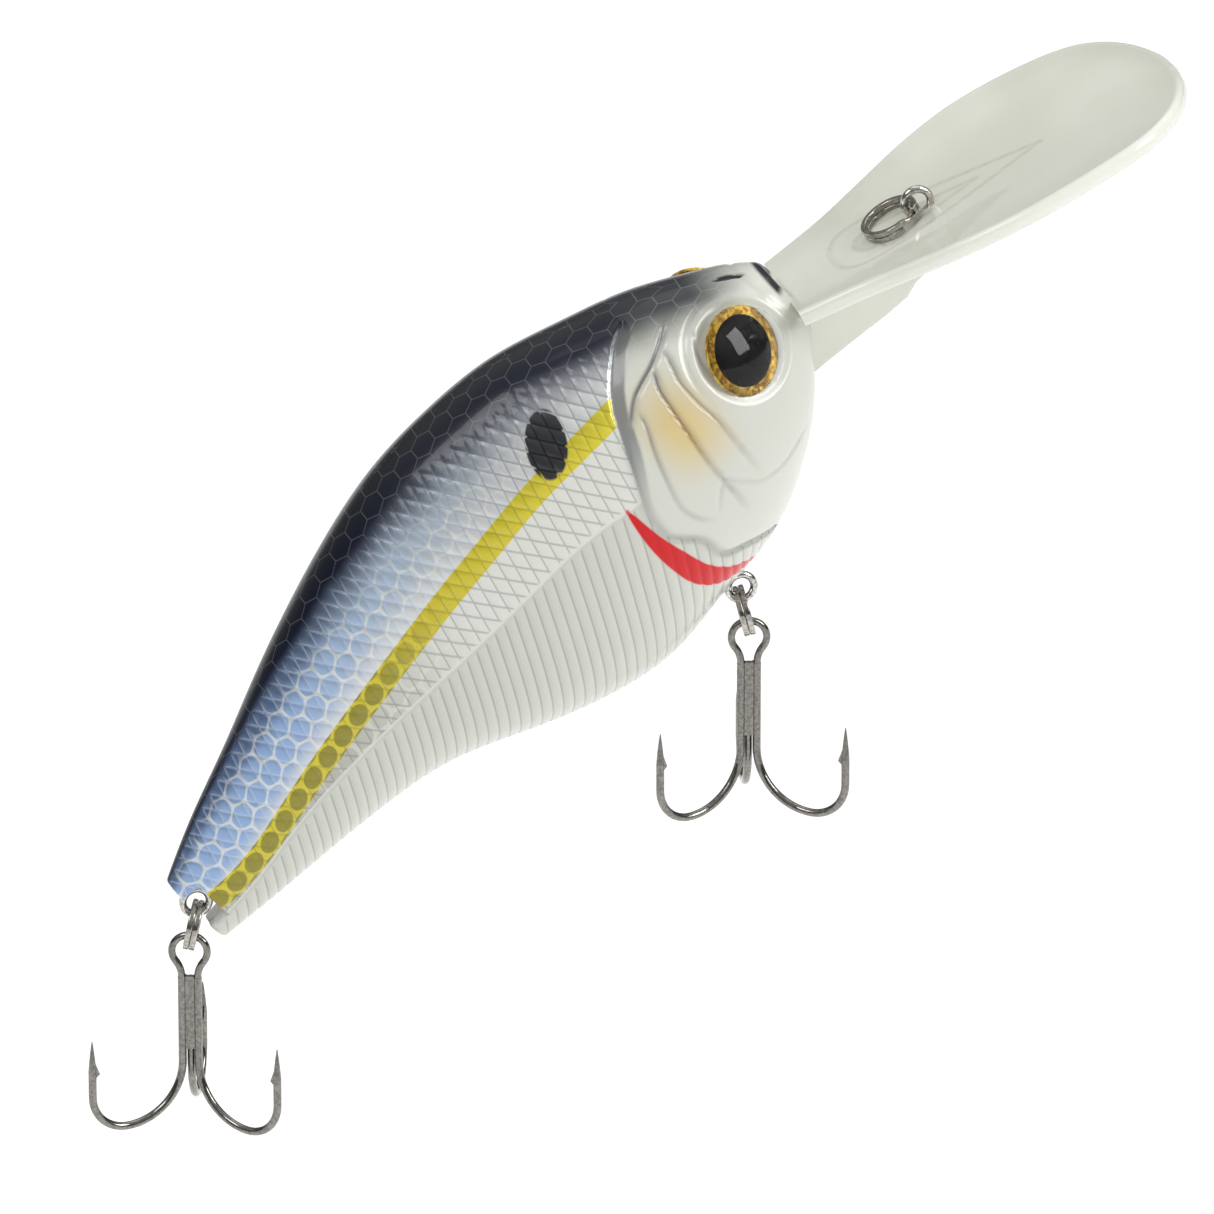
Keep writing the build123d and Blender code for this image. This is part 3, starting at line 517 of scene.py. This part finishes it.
class Look:
    """A node material with one Principled shader, and short names for the nodes that the looks use."""

    def __init__(self, name, **sockets):
        self.material = bpy.data.materials.new(name)
        self.material.use_nodes = True
        self.tree = self.material.node_tree
        self.shader = self.tree.nodes["Principled BSDF"]
        for socket, value in sockets.items():
            self.set(socket.replace("_", " ").title().replace("Ior", "IOR"), value)

    def put(self, socket, value):
        if isinstance(value, bpy.types.NodeSocket):
            self.tree.links.new(value, socket)
        else:
            socket.default_value = value

    def set(self, socket, value):
        self.put(self.shader.inputs[socket], value)

    def math(self, operation, *values):
        node = self.tree.nodes.new("ShaderNodeMath")
        node.operation = operation
        for socket, value in zip(node.inputs, values):
            self.put(socket, value)
        return node.outputs[0]

    def plus(self, first, second):
        return self.math("ADD", first, second)

    def minus(self, first, second):
        return self.math("SUBTRACT", first, second)

    def size(self, value):
        return self.math("ABSOLUTE", value)

    def most(self, first, second):
        return self.math("MAXIMUM", first, second)

    def least(self, first, second):
        return self.math("MINIMUM", first, second)

    def times(self, *values):
        result = values[0]
        for value in values[1:]:
            result = self.math("MULTIPLY", result, value)
        return result

    def distance(self, x, y):
        return self.math("SQRT", self.plus(self.math("POWER", x, 2.0), self.math("POWER", y, 2.0)))

    def step(self, value, low, high):
        """0 at low, 1 at high and smooth between; low may be the larger."""
        node = self.tree.nodes.new("ShaderNodeMapRange")
        node.interpolation_type = "SMOOTHSTEP"
        for socket, given in zip(node.inputs, (value, low, high, 0.0, 1.0)):
            self.put(socket, given)
        return node.outputs[0]

    def mix(self, share, first, second):
        """The first colour where share is 0 and the second where it is 1."""
        node = self.tree.nodes.new("ShaderNodeMix")
        node.data_type = "RGBA"
        for socket, value in ((0, share), (6, first), (7, second)):
            self.put(node.inputs[socket], value)
        return node.outputs[2]

    def pick(self, share, first, second):
        """The same for two numbers."""
        return self.plus(first, self.times(share, second - first))

    def field(self, name):
        """The two numbers that the mesh carries under this name."""
        uv = self.tree.nodes.new("ShaderNodeUVMap")
        uv.uv_map = name
        split = self.tree.nodes.new("ShaderNodeSeparateXYZ")
        self.tree.links.new(uv.outputs[0], split.inputs[0])
        return split.outputs[0], split.outputs[1]

    def noise(self, scale, detail=3.0):
        node = self.tree.nodes.new("ShaderNodeTexNoise")
        node.inputs["Scale"].default_value = scale
        node.inputs["Detail"].default_value = detail
        self.put(node.inputs["Vector"], self.tree.nodes.new("ShaderNodeTexCoord").outputs["Object"])
        return node.outputs[0]

    def bump(self, height, strength, distance):
        node = self.tree.nodes.new("ShaderNodeBump")
        self.put(node.inputs["Height"], height)
        node.inputs["Strength"].default_value = strength
        node.inputs["Distance"].default_value = distance
        self.set("Normal", node.outputs[0])

    def see_through(self, share, tint):
        """The shader shows in this share, and what lies behind it shows, tinted, in the rest."""
        clear = self.tree.nodes.new("ShaderNodeBsdfTransparent")
        clear.inputs[0].default_value = tint
        blend = self.tree.nodes.new("ShaderNodeMixShader")
        for socket, value in enumerate((share, clear.outputs[0], self.shader.outputs[0])):
            self.put(blend.inputs[socket], value)
        self.put(self.tree.nodes["Material Output"].inputs[0], blend.outputs[0])


class BodyPaint(Look):
    """The lure's paint, made from the fields that its skin carries."""

    def __init__(self):
        super().__init__("lure_paint", coat_weight=0.25, coat_roughness=0.08)
        self.s, self.lay = self.field("lay")
        self.turn, self.n = self.field("turn")
        self.ahead, self.below = self.field("zone")
        self.grey, self.crescent = self.field("shade_and_crescent")
        self.nostril, angle = self.field("round")
        self.rim, self.far = self.cells()
        self.rounded = self.plus(self.times(self.rim, 0.5), self.times(self.far, 0.5))
        self.fine_net = self.step(self.rim, HEX_PITCH * 0.465, HEX_PITCH * 0.488)
        self.head = self.step(self.ahead, -0.1, 0.1)
        self.behind = self.minus(1.0, self.head)
        # Degrees down from the back, a little uneven, and more at the tail, where the dark back is narrow.
        high = self.plus(angle, self.times(self.step(self.s, 34.0, 6.0), 14.0))
        self.high = self.plus(high, self.times(self.noise(260.0, 4.0), 7.0))
        scored = self.most(self.lines(SCALE_1, SCALE_PITCH, 0.16), self.lines(SCALE_2, SCALE_PITCH, 0.13))
        self.scored = self.times(scored, self.step(self.below, 0.0, -0.4), self.step(self.high, 28.0, 40.0),
                                 self.behind)
        self.ribbed = self.times(self.lines(RIB, RIB_PITCH, 0.16), self.step(self.below, 0.2, 0.6),
                                 self.behind)
        skin = self.mix(self.step(self.lay, -0.5, 0.5), self.upper_side(), self.lower_side())
        for layer in (self.groove_shade_highlight_and_lateral_line, self.yellow_stripe, self.shoulder_spot, self.face, self.shade_creases_and_crescent):
            skin = layer(skin)
        self.set("Base Color", skin)
        self.finish()

    def lines(self, family, pitch, width):
        """1 on a family of parallel lines, 0 away from them."""
        x = self.plus(self.times(self.s, family[0]), self.times(self.lay, family[1]))
        return self.step(self.size(self.math("WRAP", x, pitch / 2, -pitch / 2)), width, width * 0.35)

    def cells(self):
        """Distances from the middle of each six-sided cell: HEX_PITCH / 2 on its rim, and the plain one."""
        half_side = 0.866                # how far a slanted side leans over: the cosine of 30 degrees
        squash = half_side * HEX_PITCH / HEX_ROW
        row = HEX_ROW * squash
        across = self.times(self.lay, squash)
        rims, fars = [], []
        for shift_x, shift_y in ((0.0, 0.0), (HEX_PITCH / 2, row)):
            x = self.size(self.math("WRAP", self.plus(self.s, shift_x), HEX_PITCH / 2, -HEX_PITCH / 2))
            y = self.size(self.math("WRAP", self.plus(across, shift_y), row, -row))
            rims.append(self.most(x, self.plus(self.times(x, 0.5), self.times(y, half_side))))
            fars.append(self.distance(x, y))
        return self.least(*rims), self.least(*fars)

    def upper_side(self):
        """Silver by the gills, blue towards the tail, and a dark back with a net of scales."""
        to_tail = self.step(self.s, 44.0, 18.0)
        silver = self.mix(self.step(self.turn, -6.0, -34.0), SILVER_LOW, SILVER_HIGH)
        blue = self.mix(to_tail, BLUE_MIDDLE, BLUE_TAIL)
        blue_share = self.times(self.step(self.s, 64.0, 36.0), self.step(self.turn, -3.0, -24.0))
        flank = self.mix(blue_share, silver, blue)
        shade_high = self.minus(self.high, self.times(self.step(self.s, 42.0, 14.0), 12.0))
        shade = self.mix(to_tail, SHADE_MIDDLE, SHADE_TAIL)
        flank = self.mix(self.times(self.step(shade_high, 50.0, 32.0), 0.75), flank, shade)
        net = self.step(self.rounded, HEX_PITCH * 0.43, HEX_PITCH * 0.475)
        net = self.times(net, self.step(self.s, 68.0, 52.0), self.step(self.high, 36.0, 58.0), 0.8)
        flank = self.mix(net, flank, FLANK_NET)
        back = self.mix(self.step(self.high, 24.0, 8.0), BACK_LOW, BACK_HIGH)
        back = self.mix(self.times(self.fine_net, 0.45), back, BACK_NET)
        return self.mix(self.step(self.high, 40.0, 24.0), flank, back)

    def lower_side(self):
        """Pearl with faint scales, and a milky belly below the lateral line."""
        pearl = self.mix(self.step(self.s, 45.0, 15.0), PEARL_FRONT, PEARL_TAIL)
        scale = self.step(self.rounded, HEX_PITCH * 0.45, HEX_PITCH * 0.39)
        pearl = self.mix(self.times(scale, self.step(self.s, 44.0, 20.0), 0.7), pearl, PEARL_SCALE)
        return self.mix(self.step(self.below, -0.2, 0.3), pearl, BELLY)

    def groove_shade_highlight_and_lateral_line(self, skin):
        """Painted shade in the scale grooves, turning to a painted highlight in them towards the tail,
        painted shade between the ribs, and a pale lateral line.
        """
        # Painted shade in the scale grooves, turning to a painted highlight towards the tail.
        painted_light = self.mix(self.step(self.s, 60.0, 42.0), GROOVE_SHADE_FRONT, GROOVE_HIGHLIGHT_TAIL)
        painted_light = self.mix(self.step(self.lay, -0.5, 0.5), painted_light, GROOVE_SHADE_LOW)
        skin = self.mix(self.times(self.scored, 0.42), skin, painted_light)
        # Painted shade between the belly's ribs.
        skin = self.mix(self.times(self.ribbed, 0.45), skin, RIB_GROOVE_SHADE)
        lateral = self.step(self.size(self.below), 0.22, 0.1)
        return self.mix(self.times(lateral, 0.7), skin, LATERAL_PALE)

    def yellow_stripe(self, skin):
        """The stripe, with olive scales towards the tail, and painted shade in its scale grooves."""
        yellow = self.mix(self.times(self.step(self.s, 64.0, 40.0), 0.6), YELLOW_FRONT, YELLOW_TAIL)
        cell = self.step(self.minus(self.far, HEX_PITCH * 0.43), 0.06, -0.06)
        yellow = self.mix(self.times(cell, self.step(self.s, 44.0, 28.0)), yellow, OLIVE)
        # Painted shade in the scale grooves.
        yellow = self.mix(self.times(self.scored, 0.35), yellow, STRIPE_GROOVE_SHADE)
        inside = self.step(self.minus(self.size(self.lay), STRIPE_HALF), 0.07, -0.07)
        return self.mix(self.times(inside, self.behind), skin, yellow)

    def shoulder_spot(self, skin):
        """A leaning black oval behind the gill cover, lightened to dark grey as a painted sheen, with painted
        shade in its scale grooves.
        """
        down = self.plus(self.lay, 2.6)
        along = self.plus(self.minus(self.s, 60.6), self.times(down, 0.38))
        oval = self.distance(self.math("DIVIDE", along, 2.5), self.math("DIVIDE", down, 3.3))
        oval = self.plus(oval, self.times(self.scored, 0.1))
        # Painted sheen in the spot's dark grey, and painted shade in its grooves.
        spot = self.mix(self.times(self.scored, 0.8), SPOT, SPOT_GROOVE_SHADE)
        return self.mix(self.step(oval, 1.03, 0.93), skin, spot)

    def face(self, skin):
        """A white head, amber on the cheek, and dark over the crown, at the nose and in the nostrils."""
        amber = self.times(self.step(self.size(self.minus(self.s, 71.6)), 5.8, 0.4),
                           self.step(self.size(self.minus(self.n, 7.0)), 8.0, 0.6))
        face = self.mix(self.times(amber, 0.85), WHITE, AMBER)
        crown = self.times(self.step(self.high, 52.0, 22.0), self.step(self.s, 88.4, 81.0))
        face = self.mix(crown, face, self.mix(self.times(self.fine_net, 0.5), CROWN, CROWN_NET))
        nose = self.times(self.step(self.s, 87.5, 87.9), self.step(self.n, 6.4, 7.4))
        face = self.mix(nose, face, NOSE_BLACK)
        face = self.mix(self.step(self.nostril, 1.0, 0.75), face, NOSTRIL_BLACK)
        return self.mix(self.head, skin, face)

    def shade_creases_and_crescent(self, skin):
        """Painted shade, grey and brown, on the gill cover's bevel and in its creases, and the red crescent
        under the gill cover.
        """
        # Painted shade on the bevel and in the creases.
        brown = self.mix(self.step(self.n, 12.0, 9.0), CREASE_SHADE_HIGH, CREASE_SHADE_AMBER)
        painted_light = self.mix(self.step(self.s, 70.2, 71.0), CREASE_SHADE_GREY, brown)
        skin = self.mix(self.times(self.least(self.grey, 1.0), 0.8), skin, painted_light)
        red = self.times(self.step(self.crescent, 0.12, -0.12), self.step(self.ahead, 0.3, -0.1))
        return self.mix(red, skin, RED)

    def finish(self):
        """A metallic flank, less gloss on the dark back and the crescent, and fine grooves."""
        flank = self.times(self.step(self.lay, 1.0, -1.0), self.step(self.high, 30.0, 42.0), self.behind)
        self.set("Metallic", self.times(flank, 0.35))
        self.set("Roughness", self.pick(flank, 0.26, 0.33))
        inked = self.most(self.step(self.high, 42.0, 30.0), self.step(self.crescent, 0.2, -0.2))
        self.set("Specular IOR Level", self.pick(inked, 0.45, 0.2))
        self.bump(self.minus(1.0, self.most(self.scored, self.ribbed)), 0.18, 0.00008)


def plain_plastic():
    look = Look("bare_plastic", roughness=0.35)
    look.set("Base Color", look.mix(look.noise(120.0), srgb(222, 223, 216), srgb(232, 232, 227)))
    return look.material


def metal(name, dark, light, rough_low, rough_high, scale, pits):
    look = Look(name, metallic=1.0)
    streak = look.noise(scale, 4.0)
    look.set("Base Color", look.mix(look.step(streak, 0.35, 0.65), dark, light))
    look.set("Roughness", look.pick(look.step(look.noise(scale * 0.4), 0.3, 0.7), rough_low, rough_high))
    look.bump(streak, pits, 0.00004)
    return look.material


def lip_plastic():
    """Milky clear plastic, denser at the rim, with painted shade along the ribs."""
    look = Look("lip_plastic", roughness=0.12, coat_weight=0.3, coat_roughness=0.05, ior=1.5)
    edge, rib = look.field("lip")
    tone = look.mix(look.step(look.noise(45.0, 2.0), 0.35, 0.65), srgb(216, 217, 205), srgb(232, 232, 223))
    # Painted shade along the ribs on the underside.
    tone = look.mix(look.times(look.step(rib, 0.55, 0.0), 0.4), tone, srgb(150, 153, 140))
    look.set("Base Color", tone)
    look.see_through(look.pick(look.step(edge, 1.2, 0.0), 0.62, 0.8), srgb(240, 241, 234))
    return look.material


def gold_foil():
    look = Look("gold_foil", metallic=0.55, roughness=0.25)
    flake = look.noise(1800.0, 2.0)
    look.set("Base Color", look.mix(look.step(flake, 0.4, 0.6), srgb(168, 122, 22), srgb(236, 198, 84)))
    look.bump(flake, 0.6, 0.00008)
    return look.material


def pupil_black():
    look = Look("pupil_black", roughness=0.3, specular_ior_level=0.1)
    look.set("Base Color", look.mix(look.noise(500.0), srgb(5, 5, 6), srgb(12, 12, 14)))
    return look.material


def clear_dome():
    """Clear, with a gloss that grows towards the rim."""
    look = Look("lens_clear", roughness=0.03, metallic=1.0)
    look.set("Base Color", look.mix(look.noise(300.0), srgb(250, 250, 248), srgb(255, 255, 255)))
    rim = look.tree.nodes.new("ShaderNodeFresnel")
    rim.inputs[0].default_value = 1.32
    look.see_through(rim.outputs[0], (1.0, 1.0, 1.0, 1.0))
    return look.material


# ---- the pieces ----------------------------------------------------------------------------------------
paint, bare = BodyPaint().material, plain_plastic()
for word, side in (("right", -1), ("left", 1)):
    skin = body_form(f"skin_{word}", side)
    skin.data.materials.append(paint)
    shell = solid_copy(f"body_shell_{word}")
    shell.data.materials.append(bare)
    boolean(skin, shell, "INTERSECT")
    smooth_shade(skin)
    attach(skin, "lure_body")
    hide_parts(f"body_shell_{word}")

lip, keel = lip_plate(), keel_plate()
clear_plastic = lip_plastic()
for part in (lip, keel):
    part.data.materials.append(clear_plastic)
boolean(lip, keel, "UNION")
boolean(lip, plain_form(LIP_INTO_BODY), "DIFFERENCE")
smooth_shade(lip, 40.0)
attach(lip, "lure_body")
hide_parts("diving_lip")

# ---- the CAD nodes that are shown as they are ----------------------------------------------------------
hook_metal = metal("hook_nickel", srgb(112, 110, 105), srgb(138, 135, 129), 0.07, 0.17, 3000.0, 0.05)
ring_metal = metal("ring_steel", srgb(150, 147, 140), srgb(180, 177, 169), 0.07, 0.15, 3000.0, 0.04)
wire_metal = metal("wire_steel", srgb(160, 158, 152), srgb(212, 209, 203), 0.07, 0.15, 3000.0, 0.04)
weight_metal = metal("weight_metal", srgb(90, 92, 96), srgb(130, 132, 136), 0.4, 0.6, 600.0, 0.3)
foil, pupil, dome = gold_foil(), pupil_black(), clear_dome()
SHOWN = {
    "line_tie_wire": wire_metal, "belly_hanger": wire_metal, "tail_hanger": wire_metal,
    "line_ring": ring_metal, "belly_split_ring": ring_metal, "tail_split_ring": ring_metal,
    "belly_ballast": weight_metal, "nose_weight": weight_metal,
    "rear_rattle_ball": ring_metal, "front_rattle_ball": ring_metal,
}
for place in ("belly", "tail"):
    for piece in ("double", "single", "braze"):
        SHOWN[f"{place}_hook_{piece}"] = hook_metal
for word in ("right", "left"):
    SHOWN.update({f"{word}_eye_foil": foil, f"{word}_eye_pupil": pupil, f"{word}_eye_lens": dome})
for node, material in SHOWN.items():
    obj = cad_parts[node]
    obj.data.materials.clear()
    obj.data.materials.append(material)

# ---- floor, light and camera, in metres ----------------------------------------------------------------
FLOOR_Z, FLOOR_HALF = -0.3, 30.0
# (height: 0 at the horizon and below it, 1 straight up; brightness)
SKY = ((0.0, 0.85), (0.03, 0.14), (0.28, 0.16), (0.55, 0.5), (1.0, 0.6))
AZIMUTH, ELEVATION = radians(-14.5), radians(23.5)
VIEW_X = Vector((cos(AZIMUTH), sin(AZIMUTH), 0.0))
VIEW_UP = Vector((-sin(AZIMUTH) * sin(ELEVATION), cos(AZIMUTH) * sin(ELEVATION), cos(ELEVATION)))
VIEW_BACK = Vector((sin(AZIMUTH) * cos(ELEVATION), -cos(AZIMUTH) * cos(ELEVATION), sin(ELEVATION)))
AIM = Vector((-32.14, -8.65, -36.06)) * MM
FRAME_WIDTH, CAMERA_AWAY, SENSOR = 0.12388, 1.6, 36.0


def studio_floor():
    """A plain floor, with enough light of its own to stay near white."""
    corners = [(x * FLOOR_HALF, y * FLOOR_HALF, FLOOR_Z) for x, y in ((-1, -1), (1, -1), (1, 1), (-1, 1))]
    mesh = bpy.data.meshes.new("floor")
    mesh.from_pydata(corners, [], [(0, 1, 2, 3)])
    look = Look("floor", roughness=0.9)
    look.set("Base Color", look.mix(look.noise(2.0), (0.88, 0.88, 0.88, 1), (0.9, 0.9, 0.9, 1)))
    look.set("Emission Color", (1, 1, 1, 1))
    look.set("Emission Strength", 0.52)
    mesh.materials.append(look.material)
    floor = bpy.data.objects.new("floor", mesh)
    bpy.context.scene.collection.objects.link(floor)
    return floor


def studio_sky():
    """A grey sky: bright up to the horizon, dim just above it and soft overhead, for the metal to reflect."""
    world = bpy.data.worlds.new("studio")
    bpy.context.scene.world = world
    world.use_nodes = True
    nodes, links = world.node_tree.nodes, world.node_tree.links
    height = nodes.new("ShaderNodeSeparateXYZ")
    links.new(nodes.new("ShaderNodeTexCoord").outputs["Generated"], height.inputs[0])
    sky = nodes.new("ShaderNodeValToRGB")
    links.new(height.outputs[2], sky.inputs[0])
    stops = sky.color_ramp.elements
    for index, (place, level) in enumerate(SKY):
        stop = stops[index] if index < 2 else stops.new(place)
        stop.position, stop.color = place, (level, level, level * 1.02, 1)
    links.new(sky.outputs[0], nodes["Background"].inputs[0])


def soft_light(name, direction, distance, width, height, power):
    """A rectangular soft light that faces the lure; direction is right, up and towards the camera."""
    light = bpy.data.lights.new(name, "AREA")
    light.shape, light.size, light.size_y, light.energy = "RECTANGLE", width, height, power
    obj = bpy.data.objects.new(name, light)
    way = (VIEW_X * direction[0] + VIEW_UP * direction[1] + VIEW_BACK * direction[2]).normalized()
    obj.location = AIM + way * distance
    obj.rotation_euler = way.to_track_quat("Z", "Y").to_euler()
    bpy.context.scene.collection.objects.link(obj)


def studio_camera():
    data = bpy.data.cameras.new("camera")
    data.sensor_width = SENSOR
    data.lens = SENSOR * CAMERA_AWAY / FRAME_WIDTH
    data.clip_start, data.clip_end = 0.05, 100.0
    camera = bpy.data.objects.new("camera", data)
    bpy.context.scene.collection.objects.link(camera)
    place = Matrix((VIEW_X, VIEW_UP, VIEW_BACK)).transposed().to_4x4()
    place.translation = AIM + VIEW_BACK * CAMERA_AWAY
    camera.matrix_world = place
    return camera


studio_floor()
studio_sky()
soft_light("key", (-0.62, 0.6, 0.8), 0.7, 0.3, 0.3, 1.4)
soft_light("window", (0.77, 0.38, 0.51), 0.6, 0.24, 0.34, 2.1)
soft_light("top", (0.1, 1.0, 0.1), 0.7, 0.6, 0.6, 1.2)
bpy.context.scene.camera = studio_camera()
bpy.context.scene.view_settings.view_transform = "Standard"
